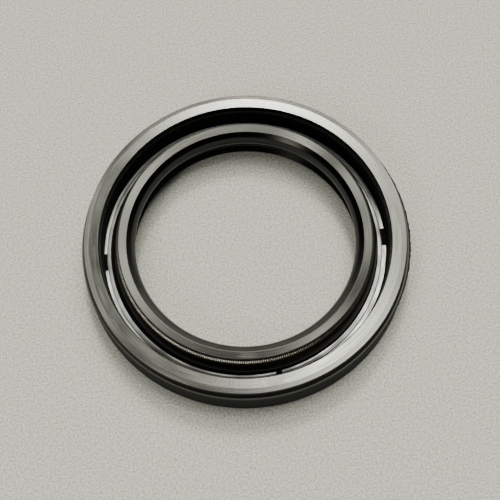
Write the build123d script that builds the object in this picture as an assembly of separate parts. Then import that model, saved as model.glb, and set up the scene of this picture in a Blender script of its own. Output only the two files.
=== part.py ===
from build123d import *
from math import cos, pi, radians, sin, tan
import os

# Rubber-covered radial shaft seal: a sprung sealing lip and a dust lip for the
# shaft, and a rubber-covered wall for the housing bore. Millimetres.
# The axis is Z, the back face lies on Z = 0 and the spring side looks up.
# Every section is an outline of (radius, height, corner radius) turned about Z.

# ---------------------------------------------------------------- sizes
# Driving dimensions
SHAFT_D = 50.0              # shaft that the lip runs on
SECTION = 11.0              # radial room between the shaft and the housing bore
WIDTH = 10.0                # back face to front face

# Outer wall, inwards from the housing bore
PRESS_FIT = 0.08            # radius that the wall stands over the bore, squeezed on fitting
BACK_CHAMFER_IN = 0.55
BACK_CHAMFER_HEIGHT = 0.70
PARTING_DEPTH = 2.85        # the mould parts this far below the front face
FRONT_TAPER_FOOT = 0.25     # the wall steps in above the parting line
RIM_EDGE_IN = 0.58          # outer edge of the front face
RIM_LAND = 1.07             # sloped land between that edge and the flat face
RIM_LAND_DROP = 0.30
RIM_THICK = 3.90            # front face, from the bore to the groove
KNEE_IN = 0.35              # the groove's wall leans in to a knee ...
KNEE_DEPTH = 3.20
FOOT_IN = 0.09              # ... and then falls steeply to the floor
EDGE_ROUND = 0.15

# Moulding flash, a torn feather of rubber left at the parting line
FLASH_ROOT = 0.35           # height where it leaves the wall
FLASH_TIP = 0.05            # thickness at its free edge
FLASH_LEAST = 0.03          # how far it stands out of the wall
FLASH_MOST = 0.50
FLASH_SIDE = -3.0           # it stands out most on this side, in degrees
FLASH_SPREAD = 5            # and fades by this power of the cosine
FLASH_TORN = 0.45           # share of it that the deepest tears take
FLASH_POINTS = 300

# Steel case, an L-shaped ring of sheet
CASE_SHEET = 1.00
CASE_COVER = 1.60           # rubber outside the case
CASE_RIM_COVER = 1.20       # rubber over the case's rim
CASE_DEPTH = 6.30           # bare flange below the front face
CASE_BEND = 0.60            # inside radius of the bend
CASE_SHIFT = -0.30          # case and mould core sit this far off the axis, in X
JOGGLE_RUN = 0.95           # the flange steps up towards the lip
JOGGLE_RISE = 0.80
COINED_LINE = 0.20          # fine V-shaped line coined at the foot of the step
COINED_DEPTH = 0.16
FLANGE_UNDER_LIP = 3.05     # the flange ends this far outside the lip's edge

# Bare ring of the flange, kept clear by the mould core
GROOVE_SHELF = 0.21         # rubber floor between the groove's wall and the bare steel
BARE_OUTER_SHIFT = -0.15
ROOT_INSET = 0.20           # rubber starts again this far down the step
ROOT_OVER_STEEL = 0.12      # and feathers out this thin on the raised flange
TAB_THICK = 0.25            # rubber tabs that cross the bare ring
OUTER_TABS = ((0.7, 7.2), (182.5, 7.2), (280.9, 2.4))   # centre, width in degrees
INNER_TABS = ((280.9, 2.4),)                            # tabs that reach the lip

# Sealing lip, outwards from its edge and down from the front face
LIP_GRIP = 0.65             # the free lip is this much smaller than the shaft
LIP_EDGE_DEPTH = 2.85
LIP_LAND = 0.40             # short cylindrical contact band above the edge
OIL_FACET = (0.60, 1.30)    # upper end of the steep facet: out, down
HEAD_INNER = (1.75, 0.55)   # inner edge of the lip's end face
HEAD_OUTER = 3.65           # its outer edge, level with the front face
AIR_ANGLE = 27.0            # cone below the edge, in degrees from the axis
NECK_THICK = 1.90           # flexing neck that carries the head
SLOT_ROUND = 0.50           # under the coil, or a third of the slot if that is less
HEEL_OUT = 1.85             # rubber round the flange's inner edge

# Dust lip, from its own edge and up from the back face
DUST_LIP_GAP = 0.20         # radius beyond the shaft
DUST_LIP_TOP = 1.75
DUST_LIP_TIP = 0.35
DUST_LIP_ROOT = 1.40
DUST_HEEL = (1.80, 0.90)
BACK_FACE_IN = 2.40

# Garter spring
SPRING_D = 2.40             # outside diameter of the coil
WIRE_D = 0.44
SPRING_OUT = 3.35           # centre of the coil, outwards from the lip's edge
SPRING_DEPTH = 2.27         # and down from the front face
SEAT_CLEARANCE = 0.02       # the seat's radius beyond the coil's
SEAT_LOWER_LIP = -65.0      # where the seat opens, in degrees from outwards
SEAT_UPPER_LIP = 72.0
SEAT_LOWER_THICK = 0.60     # rubber under the coil

housing_r = SHAFT_D / 2 + SECTION
outer_r = housing_r + PRESS_FIT
mouth_r = housing_r - RIM_THICK
knee_r = mouth_r - KNEE_IN
foot_r = knee_r - FOOT_IN
parting_z = WIDTH - PARTING_DEPTH

lip_r = SHAFT_D / 2 - LIP_GRIP
lip_z = WIDTH - LIP_EDGE_DEPTH
dust_r = SHAFT_D / 2 + DUST_LIP_GAP
coil_r = SPRING_D / 2
seat_r = coil_r + SEAT_CLEARANCE
spring_ring_r = lip_r + SPRING_OUT
spring_z = WIDTH - SPRING_DEPTH

# The flange steps up in the inner part of the gap between the spring and the wall
gap = foot_r - (spring_ring_r + coil_r)
joggle_head_r = spring_ring_r + coil_r + gap / 4
joggle_foot_r = joggle_head_r + JOGGLE_RUN
floor_z = WIDTH - CASE_DEPTH
raised_floor = floor_z + JOGGLE_RISE
bare_outer_r = foot_r - GROOVE_SHELF
bare_inner_r = joggle_head_r + ROOT_INSET
line_r = joggle_foot_r + COINED_LINE


# ---------------------------------------------------------------- helpers
def section(corners):
    """A closed outline in the XZ plane; a third value rounds a corner."""
    points = [corner[:2] for corner in corners]
    radii = [corner[2] if len(corner) > 2 else 0 for corner in corners]
    outline = FilletPolyline(*points, radius=radii, close=True)
    return Plane.XZ * make_face(outline)


def band(inner, outer, bottom, top):
    """Section of a flat ring."""
    return section([(inner, bottom), (outer, bottom), (outer, top), (inner, top)])


def turned(face, shift=0.0):
    """The full turn of a section about an axis parallel to Z."""
    return Pos(shift, 0, 0) * revolve(face, Axis.Z)


def turned_between(face, tabs, shift=0.0):
    """The turn of a section with a gap left at every tab."""
    pieces = Part()
    for (centre, width), (next_centre, next_width) in zip(tabs, tabs[1:] + tabs[:1]):
        start = centre + width / 2
        span = (next_centre - next_width / 2 - start) % 360
        pieces += Rot(0, 0, start) * revolve(face, Axis.Z, revolution_arc=span)
    return Pos(shift, 0, 0) * pieces


def on_seat(degrees):
    """A point on the mouth of the spring's seat."""
    angle = radians(degrees)
    return (spring_ring_r + seat_r * cos(angle), spring_z + seat_r * sin(angle))


# ---------------------------------------------------------------- pieces
def make_spring():
    """Close-wound coil joined into a ring, as the hollow tube that it forms."""
    coil = Torus(spring_ring_r, coil_r) - Torus(spring_ring_r, coil_r - WIRE_D)
    return Pos(0, 0, spring_z) * coil


def make_case():
    """L-shaped steel ring: outer wall, bend, and a flange that steps up to the lip."""
    wall_r = housing_r - CASE_COVER
    rim = WIDTH - CASE_RIM_COVER
    under = floor_z - CASE_SHEET
    step_in = CASE_SHEET / 3
    return turned(section([
        (wall_r, rim),
        (wall_r - CASE_SHEET, rim),
        (wall_r - CASE_SHEET, floor_z, CASE_BEND),
        (line_r, floor_z),
        (line_r - COINED_LINE / 2, floor_z - COINED_DEPTH),
        (joggle_foot_r, floor_z),
        (joggle_head_r, raised_floor, CASE_BEND),
        (lip_r + FLANGE_UNDER_LIP, raised_floor),
        (lip_r + FLANGE_UNDER_LIP, raised_floor - CASE_SHEET),
        (joggle_head_r - step_in, raised_floor - CASE_SHEET),
        (joggle_foot_r - step_in, under, CASE_BEND),
        (wall_r, under, CASE_BEND + CASE_SHEET),
    ]), CASE_SHIFT)


def flash_reach(turn):
    """How far the torn flash stands out of the wall at this angle, in radians."""
    lean = max(0, cos(turn - radians(FLASH_SIDE))) ** FLASH_SPREAD
    tear = abs(sin(29 * turn) * sin(47 * turn + 1) + sin(71 * turn)) / 2
    reach = FLASH_LEAST + (FLASH_MOST - FLASH_LEAST) * lean
    return reach * (1 - FLASH_TORN * tear)


def make_flash():
    """A wedge round the parting line, its free edge cut to the torn outline."""
    root_r = housing_r - FRONT_TAPER_FOOT
    wedge = turned(section([
        (root_r - FLASH_ROOT, parting_z),
        (outer_r + FLASH_MOST, parting_z),
        (outer_r + FLASH_MOST, parting_z + FLASH_TIP),
        (root_r - FLASH_ROOT, parting_z + FLASH_ROOT),
    ]))
    turns = [2 * pi * step / FLASH_POINTS for step in range(FLASH_POINTS)]
    torn = Polyline(
        *[((outer_r + flash_reach(t)) * cos(t), (outer_r + flash_reach(t)) * sin(t))
          for t in turns],
        close=True,
    )
    return wedge & Pos(0, 0, parting_z) * extrude(make_face(torn), FLASH_ROOT)


def rubber_outline():
    """Section of the moulding, with the case and the spring still filled in."""
    cover = floor_z + TAB_THICK
    root = raised_floor + ROOT_OVER_STEEL
    lower_lip = on_seat(SEAT_LOWER_LIP)
    under_coil = lower_lip[1] - SEAT_LOWER_THICK
    neck_z = (raised_floor + under_coil) / 2
    neck_r = lip_r + (lip_z - neck_z) * tan(radians(AIR_ANGLE))
    slot_round = min(SLOT_ROUND, (under_coil - root) / 3)
    outer_wall = [
        (outer_r - BACK_CHAMFER_IN, 0),
        (outer_r, BACK_CHAMFER_HEIGHT),
        (outer_r, parting_z),
        (housing_r - FRONT_TAPER_FOOT, parting_z),
        (housing_r - RIM_EDGE_IN, WIDTH - RIM_LAND_DROP, EDGE_ROUND),
        (housing_r - RIM_EDGE_IN - RIM_LAND, WIDTH),
        (mouth_r, WIDTH, EDGE_ROUND),
    ]
    groove = [
        (knee_r, WIDTH - KNEE_DEPTH),
        (foot_r, cover, EDGE_ROUND),
        (line_r + CASE_SHIFT, cover),
        (line_r + CASE_SHIFT - COINED_LINE, root),
        (neck_r + NECK_THICK, root, slot_round),
        (neck_r + NECK_THICK, under_coil, slot_round),
    ]
    lip_head = [
        (lower_lip[0], under_coil, EDGE_ROUND),
        lower_lip,
        on_seat(SEAT_UPPER_LIP),
        (lip_r + HEAD_OUTER, WIDTH, EDGE_ROUND),
        (lip_r + HEAD_INNER[0], WIDTH - HEAD_INNER[1]),
        (lip_r + OIL_FACET[0], WIDTH - OIL_FACET[1]),
        (lip_r, lip_z + LIP_LAND),
        (lip_r, lip_z),
        (neck_r, neck_z),
        (lip_r + HEEL_OUT, floor_z),
    ]
    dust_lip = [
        (lip_r + HEEL_OUT, floor_z - CASE_SHEET, EDGE_ROUND),
        (dust_r, DUST_LIP_TOP),
        (dust_r, DUST_LIP_TOP - DUST_LIP_TIP),
        (dust_r + DUST_LIP_ROOT, DUST_LIP_TOP),
        (dust_r + DUST_HEEL[0], DUST_HEEL[1]),
        (dust_r + BACK_FACE_IN, 0),
    ]
    return section(outer_wall + groove + lip_head + dust_lip)


def mould_core():
    """What the mould keeps clear of rubber above the flange: the bare ring."""
    bottom = floor_z - COINED_DEPTH
    top = raised_floor + ROOT_OVER_STEEL + TAB_THICK
    outer = band(joggle_foot_r - COINED_LINE, bare_outer_r, bottom, top)
    inner = band(bare_inner_r, line_r, bottom, top)
    return (turned_between(outer, OUTER_TABS, BARE_OUTER_SHIFT)
            + turned_between(inner, INNER_TABS, CASE_SHIFT))


def make_rubber(case):
    """One moulding: cover, front face, sealing lip and dust lip, round the case."""
    seat = Pos(0, 0, spring_z) * Torus(spring_ring_r, seat_r)
    return turned(rubber_outline()) + make_flash() - seat - case - mould_core()


case = make_case()
parts = {
    "rubber_body": make_rubber(case),
    "steel_case": case,
    "garter_spring": make_spring(),
}
os.makedirs("parts", exist_ok=True)
for name, part in parts.items():
    export_step(part, f"parts/{name}.step")
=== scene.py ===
from math import cos, pi, radians, sin

import bpy
from mathutils import Matrix, Vector


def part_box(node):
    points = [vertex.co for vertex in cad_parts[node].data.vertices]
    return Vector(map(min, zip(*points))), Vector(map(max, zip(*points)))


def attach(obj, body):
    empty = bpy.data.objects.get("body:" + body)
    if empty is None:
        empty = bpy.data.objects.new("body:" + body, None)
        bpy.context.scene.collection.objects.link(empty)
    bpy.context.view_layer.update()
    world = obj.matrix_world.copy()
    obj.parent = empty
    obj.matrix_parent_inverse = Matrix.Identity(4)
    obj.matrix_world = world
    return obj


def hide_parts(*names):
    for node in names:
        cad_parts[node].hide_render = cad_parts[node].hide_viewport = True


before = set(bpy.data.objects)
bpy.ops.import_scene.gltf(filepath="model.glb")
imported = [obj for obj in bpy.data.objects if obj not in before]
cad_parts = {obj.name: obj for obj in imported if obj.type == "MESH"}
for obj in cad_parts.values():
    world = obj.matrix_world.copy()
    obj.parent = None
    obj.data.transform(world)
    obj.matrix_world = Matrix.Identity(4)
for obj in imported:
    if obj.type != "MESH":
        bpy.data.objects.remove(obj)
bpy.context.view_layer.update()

# A rubber-covered radial shaft seal, lying on its back face, spring side up.
# Metres. The axis is Z and the back face is on Z = 0, as in the frame.

MM = 0.001

# ------------------------------------------------------------------ camera
IMAGE_WIDTH = 500              # pixels
FOCAL_PIXELS = 1200
SENSOR = 36.0                  # mm
CAMERA_RISE = 67.11            # degrees above the floor
CAMERA_DISTANCE = 263.2 * MM   # from the point it is aimed at
AIM_HEIGHT = 9.5 * MM
CAMERA_YAW, CAMERA_PITCH, CAMERA_ROLL = 0.20, 0.61, 3.83   # small turns, degrees

# ------------------------------------------------------------------ light
ROOM_GLOW = 0.008
WALL_RISE = 20.0               # degrees: the pale walls are palest here
WALL_SPREAD = 0.20             # they fade over this share of the room's height
WALL_GLOW = 0.25               # radiance
LIGHT_TINT = (1.0, 1.0, 0.85, 1)
SOFTBOXES = (
    # azimuth from +Y to +X, rise, width, height (degrees), radiance
    (3.5, 57, 2.5, 3.4, 179.4),
    (14.4, 73.2, 2.5, 2.5, 80),
    (32.5, 55.6, 8.4, 7.5, 14.8),
    (59.6, 74.3, 3.3, 7.8, 30),
    (-61, 64.3, 3.9, 3.1, 15),
    (-15.6, 43.4, 4.4, 3.7, 12.5),
    (-90.3, 75.6, 3, 3.1, 21),
    (172.2, 87.6, 7.4, 3, 8),
    (-35.9, 59, 4.2, 4.1, 21),
    (-140, 43, 3.6, 6, 30),
)

# ------------------------------------------------------------------ garter spring
SPRING_TURNS = 382
SPRING_WIRE = 0.44 * MM
POINTS_PER_TURN = 14
WIRE_SIDES = 8

# ------------------------------------------------------------------ finishes
# Radii, heights, sizes and spacings are in mm, and relief is in metres. Turns are in
# degrees from +X, and an arc reaches as far on both sides of its middle.
NOISE_GAIN, NOISE_SHIFT = 2.4, -0.7   # noise keeps near its middle: this stretches it to 0..1
ZONE_FADE = 0.04
ARC_FADE = 0.10
UNDER, ABOVE = -0.10, 10.10    # heights just past the back face and the front face
BEYOND = 37.00                 # a radius outside the torn flash
GROOVE_INNER = 29.20
WALL_INNER = 35.45             # the front face ends here, and the taper to the wall starts
PARTING_HEIGHT = 7.12

# ------------------------------------------------------------------ rubber
RUBBER_BLACK = (0.0018, 0.0018, 0.0016, 1)
RUBBER_BLOOM = (0.0050, 0.0048, 0.0042, 1)
POLISH = 0.165                 # roughness of the polished faces
POLISH_SPREAD = 0.035          # its change from line to line
MOTTLE_SPREAD = 0.012          # and its broad variation
RUBBER_GRAIN = 0.38
RUBBER_MOTTLE = 3.5
RUBBER_GRAIN_DEPTH = 2.2e-6
RUBBER_EDGE = 0.10 * MM        # radius that the edges are softened to, in metres
EDGE_SAMPLES = 6
TOOLING_SPACING = 0.30
TOOLING_LENGTH = 14.0          # degrees
TOOLING_DEPTH = 3.5e-6
WALL_RADIUS = 36.0
PARTING_FADE = 0.02
UPRIGHT_LENGTH = 6.0
UPRIGHT_DEPTH = 8e-6
LAND = (34.38, 35.42)          # the land's crown fades over this band of radii
LAND_CROWN = 0.17 * MM
DULL_ZONES = (
    # inner, outer radius, low, high, roughness
    (WALL_INNER, BEYOND, UNDER, 9.66, 0.85),     # outer wall, taper and flash
    (WALL_INNER, BEYOND, 7.08, 7.40, 0.55),      # ledge and flash
    (31.85, 32.20, 3.00, ABOVE, 0.60),           # inner edge of the rim
    (GROOVE_INNER, 31.90, 2.00, 9.70, 1.00),     # groove's root, wall, shelf and tabs
    (24.60, 29.15, 3.50, 8.80, 0.80),            # slot and seat under the coil
    (27.78, 28.40, 8.50, ABOVE, 0.85),           # outer edge of the lip's head
)
DEAD_ZONES = (
    # inner, outer radius, low, high, share of the shine that is lost
    (35.48, 36.40, 7.50, 9.60, 0.85),            # taper under the face
    (31.60, 32.26, 8.80, ABOVE, 0.85),           # rounded inner edge of the rim
    (36.12, BEYOND, 7.00, 7.50, 0.85),           # torn flash
    (WALL_INNER, BEYOND, UNDER, 7.00, 0.45),     # outer wall
    (GROOVE_INNER, 31.86, 3.00, 9.70, 0.85),     # groove's root, wall and tabs
)
DEAD_ARC = (80, 105, 24.95, 26.15, 50, 0.85)   # far side of the bore, set out as below
SMUDGE_THIN = 0.7              # share of a smudge that is left where it is thinnest
SMUDGE_FADE = 0.30
SMUDGES = (
    # middle, reach, inner, outer radius, fade (degrees), added roughness
    (182, 20, 34.5, 35.6, 14, 0.19),
    (215, 22, 32.3, 34.2, 12, 0.03),
    (278, 3, 32.3, 34.6, 2, 0.05),
    (268, 4, 26.3, 28.1, 3, 0.08),
    (270, 75, 24.9, 26.2, 40, 0.45),      # bloom on the near side of the bore
)
# pale marks in the colour: a line on the rim's outer edge and a faint band on the taper under it
PALE_MARK_COLOUR = (0.12, 0.12, 0.112, 1)
PALE_MARK_FADE = 0.06
PALE_MARK_LOW, PALE_MARK_RISE = 7.5, 0.1   # the marks start at this height, over this fade
PALE_MARKS = (
    # middle, reach, inner, outer radius, fade (degrees), share
    (222, 19, 35.36, 35.50, 12, 0.85),    # pale line on the rim's outer edge
    (218, 17, 35.50, 36.08, 12, 0.11),    # and the taper under it
)

# ------------------------------------------------------------------ steel
CASE_SHIFT = -0.30             # the case sits this far off the axis along X
STEEL_PALE = (0.26, 0.26, 0.27, 1)
STEEL_DARK = (0.08, 0.08, 0.085, 1)
# the colour of the painted shade on the steel
STEEL_SHADED = (0.006, 0.006, 0.006, 1)
STEEL_METALLIC = 0.7
STEEL_ROUGHNESS = (0.36, 0.48)            # between smears and on them
# painted shade: arcs of the steel darkened where the rim's wall and the lip shade it
STEEL_SHADE_ARCS = (
    # middle, reach, inner, outer radius, fade (degrees), darkness
    (248, 30, 29.3, 31.9, 10, 0.50),
    (262, 46, 30.07, 30.9, 24, 0.97),
    (260, 46, 28.8, 29.73, 24, 0.97),
    (216, 14, 31.0, 31.9, 12, 0.60),
    (35, 26, 30.5, 31.9, 14, 0.75),
    (130, 22, 30.5, 31.9, 14, 0.60),
)
SMEAR_SPACING, SMEAR_LENGTH = 0.6, 9.0    # mm, degrees
DRAWN_SPACING, DRAWN_LENGTH = 0.09, 25.0  # mm, degrees
DRAWN_DEPTH = 1.5e-6
STEEL_GRAIN = 0.5
STEEL_GRAIN_DEPTH = 3e-6
STEP = (29.80, 30.54)          # the sloped step, rolled over at both ends
STEP_CROWN = 0.60 * MM

# ------------------------------------------------------------------ wire
WIRE_BRIGHT = (0.95, 0.92, 0.87, 1)
WIRE_OILED = (0.84, 0.80, 0.74, 1)
# dark colour of the painted shade on the coil
WIRE_SHADED = (0.030, 0.024, 0.018, 1)
WIRE_ROUGHNESS = (0.25, 0.30)  # bright and oiled
VALLEY_ROUGHNESS = 0.6
OIL_PATCH = 1.6
WIRE_CREST = (0.12, 0.10)      # painted shade below the crests: bright from this depth under the coil's outside, rising over this
WIRE_LIT_TOP = (0.62, 0.24)      # painted shade on the coil's lower part: lit above this share of the coil's radius, rising over the next share
WIRE_SHADE_ARC = (52, 128, 0, 50, 40, 0.85)   # painted shade: an arc over all radii, and its share

# ------------------------------------------------------------------ floor
FLOOR_REACH = 1.2              # metres from the axis
FLOOR_GRAIN = 0.45
FLOOR_ROUGHNESS = 0.9
FLOOR_DARK = (0.165, 0.165, 0.160, 1)
FLOOR_PALE = (0.37, 0.37, 0.358, 1)


# ------------------------------------------------------------------ node helpers
def new_group(name, inputs, outputs, kind="ShaderNodeTree"):
    """An empty node group with named sockets: (name, socket type, default)."""
    tree = bpy.data.node_groups.new(name, kind)
    for label, socket_type, default in inputs:
        socket = tree.interface.new_socket(label, in_out="INPUT", socket_type=socket_type)
        if default is not None:
            socket.default_value = default
    for label, socket_type in outputs:
        tree.interface.new_socket(label, in_out="OUTPUT", socket_type=socket_type)
    return tree


class Wiring:
    """Short calls for adding nodes and links to one tree."""

    def __init__(self, tree):
        self.tree = tree

    def node(self, kind, inputs=None, **settings):
        """A node with its settings, and then its inputs by name or number."""
        made = self.tree.nodes.new(kind)
        for key, value in settings.items():
            setattr(made, key, value)
        for key, value in (inputs or {}).items():
            self.plug(made.inputs[key], value)
        return made

    def plug(self, socket, value):
        """Links a socket, or sets it where the value is a constant."""
        if isinstance(value, bpy.types.NodeSocket):
            self.tree.links.new(value, socket)
        else:
            socket.default_value = value

    def math(self, operation, *values, clamp=False):
        made = self.node("ShaderNodeMath", dict(enumerate(values)),
                         operation=operation, use_clamp=clamp)
        return made.outputs[0]

    def dot(self, vector, fixed):
        made = self.node("ShaderNodeVectorMath", {0: vector, 1: fixed}, operation="DOT_PRODUCT")
        return made.outputs["Value"]

    def scaled(self, vector, factor):
        made = self.node("ShaderNodeVectorMath", {0: vector, "Scale": factor}, operation="SCALE")
        return made.outputs[0]

    def group(self, tree, inputs):
        """Places a shader group and gives its outputs."""
        return self.node("ShaderNodeGroup", inputs, node_tree=tree).outputs

    def ease(self, value, start, fade):
        """0 below start, rising to 1 over fade."""
        risen = self.math("SUBTRACT", value, start)
        return self.math("DIVIDE", risen, fade, clamp=True)

    def between(self, value, low, high, fade):
        """1 between low and high, fading to 0 outside over fade."""
        rise = self.ease(value, low - fade, fade)
        fall = self.ease(self.math("MULTIPLY", value, -1.0), -high - fade, fade)
        return self.math("MULTIPLY", rise, fall)

    # a Mix node has sockets for every type, so the ones in use are found by their number
    def mix(self, factor, first, second):
        """From the first number to the second."""
        made = self.node("ShaderNodeMix", {0: factor, 2: first, 3: second}, data_type="FLOAT")
        return made.outputs[0]

    def tint(self, factor, first, second):
        """From the first colour to the second."""
        made = self.node("ShaderNodeMix", {0: factor, 6: first, 7: second}, data_type="RGBA")
        return made.outputs[2]

    def bump(self, height, depth, normal=None):
        """Relief of this depth in metres on top of a normal."""
        made = self.node("ShaderNodeBump", {"Height": height, "Distance": depth})
        if normal is not None:
            self.plug(made.inputs["Normal"], normal)
        return made.outputs[0]


# ------------------------------------------------------------------ garter spring
def coil_tree():
    """Geometry nodes: a close-wound wire coil bent into a ring and joined."""
    tree = new_group(
        "joined_coil",
        [
            ("Ring Radius", "NodeSocketFloat", 0.02),
            ("Ring Height", "NodeSocketFloat", 0.0),
            ("Coil Radius", "NodeSocketFloat", 0.001),
            ("Wire", "NodeSocketFloat", 0.0004),
            ("Turns", "NodeSocketInt", 100),
            ("Points per Turn", "NodeSocketInt", 12),
            ("Wire Sides", "NodeSocketInt", 8),
            ("Finish", "NodeSocketMaterial", None),
        ],
        [("Geometry", "NodeSocketGeometry")],
        "GeometryNodeTree",
    )
    w = Wiring(tree)
    sizes = w.node("NodeGroupInput").outputs
    count = w.math("MULTIPLY", sizes["Turns"], sizes["Points per Turn"])
    line = w.node("GeometryNodeMeshLine", {"Count": count})
    share = w.math("DIVIDE", w.node("GeometryNodeInputIndex").outputs[0], count)
    round_ring = w.math("MULTIPLY", share, 2 * pi)
    round_coil = w.math("MULTIPLY", round_ring, sizes["Turns"])
    wire_radius = w.math("DIVIDE", sizes["Wire"], 2.0)
    mean = w.math("SUBTRACT", sizes["Coil Radius"], wire_radius)
    out = w.math("MULTIPLY_ADD", w.math("COSINE", round_coil), mean, sizes["Ring Radius"])
    up = w.math("MULTIPLY_ADD", w.math("SINE", round_coil), mean, sizes["Ring Height"])
    place = w.node("ShaderNodeCombineXYZ", {
        "X": w.math("MULTIPLY", out, w.math("COSINE", round_ring)),
        "Y": w.math("MULTIPLY", out, w.math("SINE", round_ring)),
        "Z": up,
    })
    moved = w.node("GeometryNodeSetPosition", {
        "Geometry": line.outputs[0], "Position": place.outputs[0]})
    path = w.node("GeometryNodeMeshToCurve", {"Mesh": moved.outputs[0]})
    closed = w.node("GeometryNodeSetSplineCyclic", {
        "Geometry": path.outputs[0], "Cyclic": True})
    section = w.node("GeometryNodeCurvePrimitiveCircle", {
        "Resolution": sizes["Wire Sides"], "Radius": wire_radius})
    wire = w.node("GeometryNodeCurveToMesh", {
        "Curve": closed.outputs[0], "Profile Curve": section.outputs[0]})
    smooth = w.node("GeometryNodeSetShadeSmooth", {"Geometry": wire.outputs[0]})
    real = w.node("GeometryNodeRealizeInstances", {"Geometry": smooth.outputs[0]})
    finish = w.node("GeometryNodeSetMaterial", {
        "Geometry": real.outputs[0], "Material": sizes["Finish"]})
    w.node("NodeGroupOutput", {"Geometry": finish.outputs[0]})
    return tree


def bake(name, tree, values):
    """Runs a geometry tree with these named inputs and keeps the plain mesh."""
    holder = bpy.data.objects.new(name + "_maker", bpy.data.meshes.new(name + "_seed"))
    bpy.context.scene.collection.objects.link(holder)
    modifier = holder.modifiers.new("make", "NODES")
    modifier.node_group = tree
    for item in tree.interface.items_tree:
        if item.in_out == "INPUT" and item.name in values:
            modifier[item.identifier] = values[item.name]
    ready = holder.evaluated_get(bpy.context.evaluated_depsgraph_get())
    mesh = bpy.data.meshes.new_from_object(ready)
    bpy.data.objects.remove(holder)
    mesh.name = name
    made = bpy.data.objects.new(name, mesh)
    bpy.context.scene.collection.objects.link(made)
    return made


def spring_sizes():
    """Radius and height of the coil's centre line, and the coil's own radius."""
    low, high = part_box("garter_spring")
    coil = (high.z - low.z) / 2
    return high.x - coil, (high.z + low.z) / 2, coil


def make_spring(finish):
    """The real coil, in the space of the frame's plain ring."""
    ring, height, coil = spring_sizes()
    spring = bake("garter_spring_coil", coil_tree(), {
        "Ring Radius": ring,
        "Ring Height": height,
        "Coil Radius": coil,
        "Wire": SPRING_WIRE,
        "Turns": SPRING_TURNS,
        "Points per Turn": POINTS_PER_TURN,
        "Wire Sides": WIRE_SIDES,
        "Finish": finish,
    })
    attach(spring, "root")
    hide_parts("garter_spring")


# ------------------------------------------------------------------ shared finish groups
def place_group():
    """Where a point lies on a turned part, in millimetres and degrees."""
    tree = new_group("turned_place", [("Shift", "NodeSocketFloat", 0.0)], [
        ("Radius", "NodeSocketFloat"),
        ("Height", "NodeSocketFloat"),
        ("Turn", "NodeSocketFloat"),
        ("Point", "NodeSocketVector"),
    ])
    w = Wiring(tree)
    shift = w.node("NodeGroupInput").outputs["Shift"]
    point = w.scaled(w.node("ShaderNodeTexCoord").outputs["Object"], 1 / MM)
    along = w.node("ShaderNodeSeparateXYZ", {"Vector": point}).outputs
    x = w.math("SUBTRACT", along["X"], shift)
    squares = w.math("MULTIPLY_ADD", x, x, w.math("POWER", along["Y"], 2.0))
    w.node("NodeGroupOutput", {
        "Radius": w.math("SQRT", squares),
        "Height": along["Z"],
        "Turn": w.math("DEGREES", w.math("ARCTAN2", along["Y"], x)),
        "Point": point,
    })
    return tree


def grain_group():
    """Soft mottling with features of one size, from 0 to 1."""
    tree = new_group("satin_grain", [
        ("Point", "NodeSocketVector", None),
        ("Size", "NodeSocketFloat", 1.0),
    ], [("Value", "NodeSocketFloat")])
    w = Wiring(tree)
    given = w.node("NodeGroupInput").outputs
    noise = w.node("ShaderNodeTexNoise", {
        "Vector": given["Point"],
        "Scale": w.math("DIVIDE", 1.0, given["Size"]),
        "Detail": 2.0,
        "Roughness": 0.55,
    })
    value = w.math("MULTIPLY_ADD", noise.outputs[0], NOISE_GAIN, NOISE_SHIFT, clamp=True)
    w.node("NodeGroupOutput", {"Value": value})
    return tree


def lines_group():
    """Fine lines that run round a turned part, from 0 to 1."""
    tree = new_group("turning_lines", [
        ("Radius", "NodeSocketFloat", 0.0),
        ("Height", "NodeSocketFloat", 0.0),
        ("Turn", "NodeSocketFloat", 0.0),
        ("Spacing", "NodeSocketFloat", 0.2),
        ("Length", "NodeSocketFloat", 40.0),
    ], [("Value", "NodeSocketFloat")])
    w = Wiring(tree)
    given = w.node("NodeGroupInput").outputs
    across = w.math("DIVIDE", w.math("ADD", given["Radius"], given["Height"]), given["Spacing"])
    round_it = w.math("DIVIDE", given["Turn"], given["Length"])
    place = w.node("ShaderNodeCombineXYZ", {"X": across, "Y": round_it})
    noise = w.node("ShaderNodeTexNoise", {
        "Vector": place.outputs[0], "Scale": 1.0, "Detail": 1.0})
    value = w.math("MULTIPLY_ADD", noise.outputs[0], NOISE_GAIN, NOISE_SHIFT, clamp=True)
    w.node("NodeGroupOutput", {"Value": value})
    return tree


def arc_group():
    """1 on an arc of a ring, fading out at its ends and sides."""
    tree = new_group("arc_mask", [
        ("Radius", "NodeSocketFloat", 0.0),
        ("Turn", "NodeSocketFloat", 0.0),
        ("Middle", "NodeSocketFloat", 0.0),
        ("Reach", "NodeSocketFloat", 10.0),
        ("Inner", "NodeSocketFloat", 0.0),
        ("Outer", "NodeSocketFloat", 1.0),
        ("End Fade", "NodeSocketFloat", 1.0),
        ("Side Fade", "NodeSocketFloat", 0.1),
    ], [("Value", "NodeSocketFloat")])
    w = Wiring(tree)
    given = w.node("NodeGroupInput").outputs
    # the turn away from the middle, the short way round
    turned = w.math("WRAP", w.math("SUBTRACT", given["Turn"], given["Middle"]), 180.0, -180.0)
    off = w.math("ABSOLUTE", turned)
    ends = w.math("DIVIDE", w.math("SUBTRACT", given["Reach"], off), given["End Fade"])
    inside = w.math("SUBTRACT", given["Radius"], given["Inner"])
    outside = w.math("SUBTRACT", given["Outer"], given["Radius"])
    sides = w.math("DIVIDE", w.math("MINIMUM", inside, outside), given["Side Fade"])
    ends = w.math("ADD", ends, 0.5, clamp=True)
    sides = w.math("ADD", sides, 0.5, clamp=True)
    w.node("NodeGroupOutput", {"Value": w.math("MULTIPLY", ends, sides)})
    return tree


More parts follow.
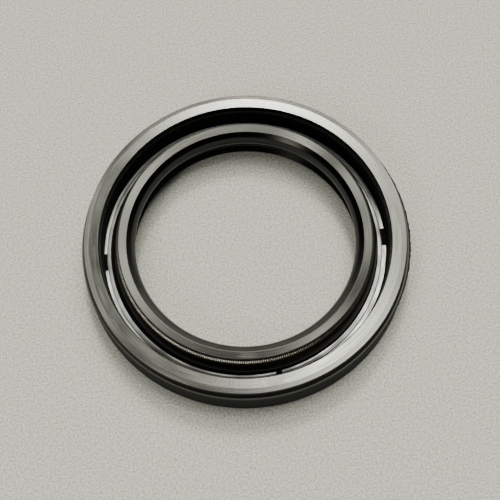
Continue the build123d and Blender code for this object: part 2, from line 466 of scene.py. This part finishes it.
# ------------------------------------------------------------------ materials
class Finish(Wiring):
    """A material for one piece, with the shared groups at hand."""

    def __init__(self, name, groups, shift=0.0):
        self.material = bpy.data.materials.new(name)
        self.material.use_nodes = True
        super().__init__(self.material.node_tree)
        self.shader = self.tree.nodes["Principled BSDF"]
        self.groups = groups
        at = self.group(groups["place"], {"Shift": shift})
        self.radius, self.height = at["Radius"], at["Height"]
        self.turn, self.point = at["Turn"], at["Point"]

    def give(self, name, value):
        """Sets one of the shader's own sockets."""
        self.plug(self.shader.inputs[name], value)

    def grain(self, size):
        return self.group(self.groups["grain"], {"Point": self.point, "Size": size})["Value"]

    def lines(self, spacing, length):
        """Lines round the piece, this far apart in mm and this long in degrees."""
        return self.group(self.groups["lines"], {
            "Radius": self.radius, "Height": self.height, "Turn": self.turn,
            "Spacing": spacing, "Length": length})["Value"]

    def arc(self, middle, reach, inner, outer, end_fade, side_fade=ARC_FADE):
        """1 on an arc of a ring, whatever the height."""
        return self.group(self.groups["arc"], {
            "Radius": self.radius, "Turn": self.turn, "Middle": middle, "Reach": reach,
            "Inner": inner, "Outer": outer, "End Fade": end_fade,
            "Side Fade": side_fade})["Value"]

    def zone(self, inner, outer, low, high):
        """1 in a full ring of this section."""
        return self.math("MULTIPLY", self.between(self.radius, inner, outer, ZONE_FADE),
                         self.between(self.height, low, high, ZONE_FADE))


def rubber_colour(rubber, broad, fine):
    """Black, greyer where bloom has come out, and paler in marks on the rim's outer edge and the
    taper under it.
    """
    colour = rubber.tint(rubber.math("MULTIPLY", broad, fine), RUBBER_BLACK, RUBBER_BLOOM)
    above = rubber.ease(rubber.height, PALE_MARK_LOW, PALE_MARK_RISE)
    for *place, share in PALE_MARKS:
        pale_mark = rubber.math("MULTIPLY", rubber.arc(*place, PALE_MARK_FADE), above)
        colour = rubber.tint(rubber.math("MULTIPLY", pale_mark, share), colour, PALE_MARK_COLOUR)
    return colour


def rubber_roughness(rubber, tooling, broad):
    """Polished by the mould, but dull on the wall, in the groove and under smudges."""
    rough = rubber.mix(tooling, POLISH - POLISH_SPREAD, POLISH + POLISH_SPREAD)
    rough = rubber.math("MULTIPLY_ADD", broad, MOTTLE_SPREAD, rough)
    for *section, dull in DULL_ZONES:
        rough = rubber.mix(rubber.zone(*section), rough, dull)
    patchy = rubber.mix(broad, SMUDGE_THIN, 1.0)
    for *place, amount in SMUDGES:
        smudge = rubber.math("MULTIPLY", rubber.arc(*place, SMUDGE_FADE), patchy)
        rough = rubber.math("MULTIPLY_ADD", smudge, amount, rough)
    return rough


def rubber_lost_shine(rubber):
    """Metallic over black takes away the reflection where the rubber is dead matt."""
    lost = 0.0
    for *section, share in DEAD_ZONES:
        lost = rubber.math("MAXIMUM", lost, rubber.math("MULTIPLY", rubber.zone(*section), share))
    *place, share = DEAD_ARC
    return rubber.math("MAXIMUM", lost, rubber.math("MULTIPLY", rubber.arc(*place), share))


def rubber_relief(rubber, tooling, fine):
    """Softened edges, the land's crown, tooling lines, marks on the wall and grain."""
    edges = rubber.node("ShaderNodeBevel", {"Radius": RUBBER_EDGE}, samples=EDGE_SAMPLES)
    crown = rubber.ease(rubber.radius, LAND[0], LAND[1] - LAND[0])
    crowned = rubber.bump(crown, LAND_CROWN, edges.outputs[0])
    turned_face = rubber.bump(tooling, TOOLING_DEPTH, crowned)
    # fine upright marks on the wall are lines with the two directions exchanged
    upright = rubber.group(rubber.groups["lines"], {
        "Radius": rubber.math("MULTIPLY", rubber.turn, radians(WALL_RADIUS)),
        "Height": 0.0, "Turn": rubber.height,
        "Spacing": TOOLING_SPACING, "Length": UPRIGHT_LENGTH})["Value"]
    wall = rubber.math("MULTIPLY", rubber.ease(rubber.radius, WALL_INNER, ZONE_FADE),
                       rubber.between(rubber.height, UNDER, PARTING_HEIGHT, PARTING_FADE))
    marks = rubber.math("MULTIPLY", upright, wall)
    marked_wall = rubber.bump(marks, UPRIGHT_DEPTH, turned_face)
    return rubber.bump(fine, RUBBER_GRAIN_DEPTH, marked_wall)


def rubber_material(groups):
    """Black nitrile as it leaves the mould."""
    rubber = Finish("nitrile_rubber", groups)
    fine = rubber.grain(RUBBER_GRAIN)
    broad = rubber.grain(RUBBER_MOTTLE)
    tooling = rubber.lines(TOOLING_SPACING, TOOLING_LENGTH)
    rubber.give("Base Color", rubber_colour(rubber, broad, fine))
    rubber.give("Metallic", rubber_lost_shine(rubber))
    rubber.give("Roughness", rubber_roughness(rubber, tooling, broad))
    rubber.give("Normal", rubber_relief(rubber, tooling, fine))
    return rubber.material


def steel_material(groups):
    """Phosphated sheet with thin smears of a bonding coating, and painted shade in arcs where the
    rim's wall and the lip shade it.
    """
    steel = Finish("bare_case_steel", groups, CASE_SHIFT)
    smear = steel.lines(SMEAR_SPACING, SMEAR_LENGTH)
    colour = steel.tint(smear, STEEL_PALE, STEEL_DARK)
    # painted shade in arcs where the rim's wall and the lip shade the steel
    for *place, darkness in STEEL_SHADE_ARCS:
        shaded_arc = steel.math("MULTIPLY", steel.arc(*place), darkness)
        colour = steel.tint(shaded_arc, colour, STEEL_SHADED)
    steel.give("Base Color", colour)
    steel.give("Metallic", STEEL_METALLIC)
    steel.give("Roughness", steel.mix(smear, *STEEL_ROUGHNESS))
    crown = steel.bump(steel.ease(steel.radius, STEP[0], STEP[1] - STEP[0]), STEP_CROWN)
    drawn = steel.bump(steel.lines(DRAWN_SPACING, DRAWN_LENGTH), DRAWN_DEPTH, crown)
    steel.give("Normal", steel.bump(steel.grain(STEEL_GRAIN), STEEL_GRAIN_DEPTH, drawn))
    return steel.material


def spring_material(groups):
    """Bright drawn wire in oily patches, with painted shade in the valleys between turns, on the
    coil's lower part and round all of the ring but its near-left arc.
    """
    wire = Finish("drawn_spring_wire", groups)
    ring, height, coil = (size / MM for size in spring_sizes())
    out = wire.math("SUBTRACT", wire.radius, ring)
    up = wire.math("SUBTRACT", wire.height, height)
    squares = wire.math("MULTIPLY_ADD", out, out, wire.math("POWER", up, 2.0))
    # painted shade: dark in the valleys between turns and on the coil's lower part
    crest = wire.ease(wire.math("SQRT", squares), coil - WIRE_CREST[0], WIRE_CREST[1])
    upper_side = wire.ease(up, coil * WIRE_LIT_TOP[0], coil * WIRE_LIT_TOP[1])
    painted_lit = wire.math("MULTIPLY", crest, upper_side)
    patch = wire.grain(OIL_PATCH)
    bare = wire.tint(patch, WIRE_BRIGHT, WIRE_OILED)
    # painted shade over the whole ring but the near-left arc from 180 to 284 degrees
    *place, share = WIRE_SHADE_ARC
    arc_shade = wire.math("MULTIPLY", wire.arc(*place), share)
    arc_shaded = wire.tint(arc_shade, bare, WIRE_SHADED)
    wire.give("Base Color", wire.tint(painted_lit, WIRE_SHADED, arc_shaded))
    wire.give("Metallic", 1.0)
    polished = wire.mix(patch, *WIRE_ROUGHNESS)
    wire.give("Roughness", wire.mix(painted_lit, VALLEY_ROUGHNESS, polished))
    return wire.material


def floor_material(groups):
    """A pale mat with a fine, even grain."""
    mat = Finish("pale_mat", groups)
    mat.give("Base Color", mat.tint(mat.grain(FLOOR_GRAIN), FLOOR_DARK, FLOOR_PALE))
    mat.give("Roughness", FLOOR_ROUGHNESS)
    return mat.material


# ------------------------------------------------------------------ stage
def make_floor(finish):
    """One large square under the seal."""
    mesh = bpy.data.meshes.new("floor")
    far = FLOOR_REACH
    corners = [(-far, -far, 0), (far, -far, 0), (far, far, 0), (-far, far, 0)]
    mesh.from_pydata(corners, [], [(0, 1, 2, 3)])
    mesh.materials.append(finish)
    floor = bpy.data.objects.new("floor", mesh)
    bpy.context.scene.collection.objects.link(floor)


def glow(w, direction, azimuth, rise, width, height, strength):
    """A soft bright patch of the room: radiance by direction, sizes in degrees."""
    turn, lift = radians(azimuth), radians(rise)
    axis = Vector((sin(turn) * cos(lift), cos(turn) * cos(lift), sin(lift)))
    across = Vector((cos(turn), -sin(turn), 0))
    spread = [
        w.math("POWER", w.math("DIVIDE", w.dot(direction, side), radians(size)), 2.0)
        for side, size in ((across, width), (across.cross(axis), height))
    ]
    fall = w.math("EXPONENT", w.math("MULTIPLY", w.math("ADD", *spread), -0.5))
    ahead = w.math("GREATER_THAN", w.dot(direction, axis), 0.0)
    return w.math("MULTIPLY", w.math("MULTIPLY", fall, ahead), strength)


def make_room():
    """A dark room, pale low down all round, with softboxes that the rubber mirrors."""
    world = bpy.data.worlds.new("studio")
    world.use_nodes = True
    w = Wiring(world.node_tree)
    direction = w.node("ShaderNodeTexCoord").outputs["Generated"]
    level = w.math("SUBTRACT", w.dot(direction, (0, 0, 1)), sin(radians(WALL_RISE)))
    off = w.math("POWER", w.math("DIVIDE", level, WALL_SPREAD), 2.0)
    walls = w.math("EXPONENT", w.math("MULTIPLY", off, -0.5))
    total = w.math("MULTIPLY_ADD", walls, WALL_GLOW, ROOM_GLOW)
    for softbox in SOFTBOXES:
        total = w.math("ADD", total, glow(w, direction, *softbox))
    backdrop = world.node_tree.nodes["Background"]
    backdrop.inputs["Color"].default_value = LIGHT_TINT
    w.plug(backdrop.inputs["Strength"], total)
    bpy.context.scene.world = world


def make_camera():
    """Above the near side, aimed at the axis and then turned a little."""
    data = bpy.data.cameras.new("camera")
    data.sensor_width = SENSOR
    data.lens = FOCAL_PIXELS / IMAGE_WIDTH * SENSOR
    data.clip_start, data.clip_end = 0.01, 10
    camera = bpy.data.objects.new("camera", data)
    bpy.context.scene.collection.objects.link(camera)
    rise = radians(CAMERA_RISE)
    place = Vector((0, -cos(rise), sin(rise))) * CAMERA_DISTANCE + Vector((0, 0, AIM_HEIGHT))
    level = Matrix.Rotation(radians(90 - CAMERA_RISE), 4, "X")
    small = (
        Matrix.Rotation(radians(CAMERA_ROLL), 4, "Z")
        @ Matrix.Rotation(radians(CAMERA_PITCH), 4, "X")
        @ Matrix.Rotation(radians(CAMERA_YAW), 4, "Y")
    )
    # the small turns are the picture's, so the camera makes them the other way
    camera.matrix_world = Matrix.Translation(place) @ level @ small.transposed()
    bpy.context.scene.camera = camera


# ------------------------------------------------------------------ build
def dress(node, material):
    """Gives a node of the frame its material."""
    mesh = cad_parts[node].data
    mesh.materials.clear()
    mesh.materials.append(material)


shared = {"place": place_group(), "grain": grain_group(),
          "lines": lines_group(), "arc": arc_group()}
dress("rubber_body", rubber_material(shared))
dress("steel_case", steel_material(shared))
make_spring(spring_material(shared))
make_floor(floor_material(shared))
make_room()
make_camera()
